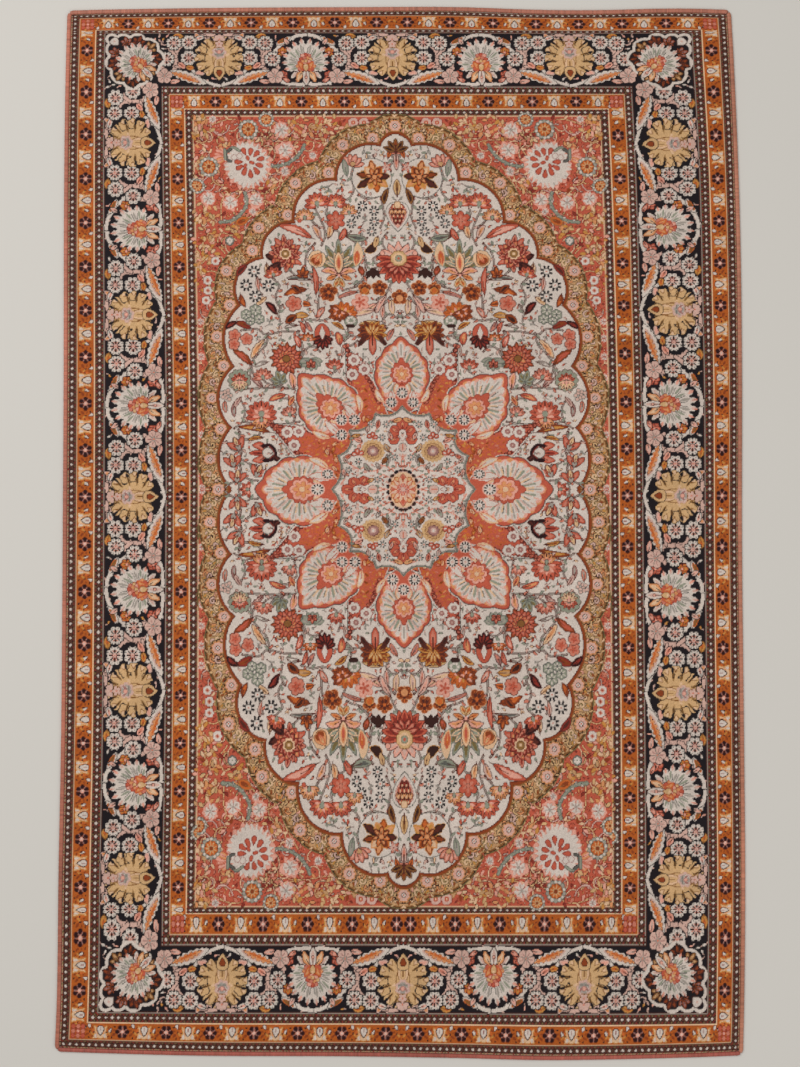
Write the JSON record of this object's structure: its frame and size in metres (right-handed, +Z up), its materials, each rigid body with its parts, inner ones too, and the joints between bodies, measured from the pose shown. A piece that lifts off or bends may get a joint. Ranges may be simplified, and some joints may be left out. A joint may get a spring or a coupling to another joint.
{
  "type": "silk rug",
  "caption": "Flat rectangular hand-knotted silk rug with a scalloped ivory medallion, a central star of petals, floral borders and a narrow bound edge all round.",
  "frame": {"origin": "middle of the rug's bounding box, on its underside, so the rug lies on Z = 0", "axes": "+X across the width, +Y along the length towards the far end, +Z up out of the pile"},
  "size_m": [1.0146, 1.5478, 0.0042],
  "materials": {
    "silk_pile": "knotted silk pile with a soft sheen, in navy, coral red, ochre, brown and ivory",
    "coral_silk": "overcast coral silk yarn, satin"
  },
  "bodies": {
    "root": {"knotted_cloth": "silk_pile", "end_binding_far": "coral_silk", "end_binding_near": "coral_silk", "side_binding_left": "coral_silk", "side_binding_right": "coral_silk"}
  },
  "joints": []
}
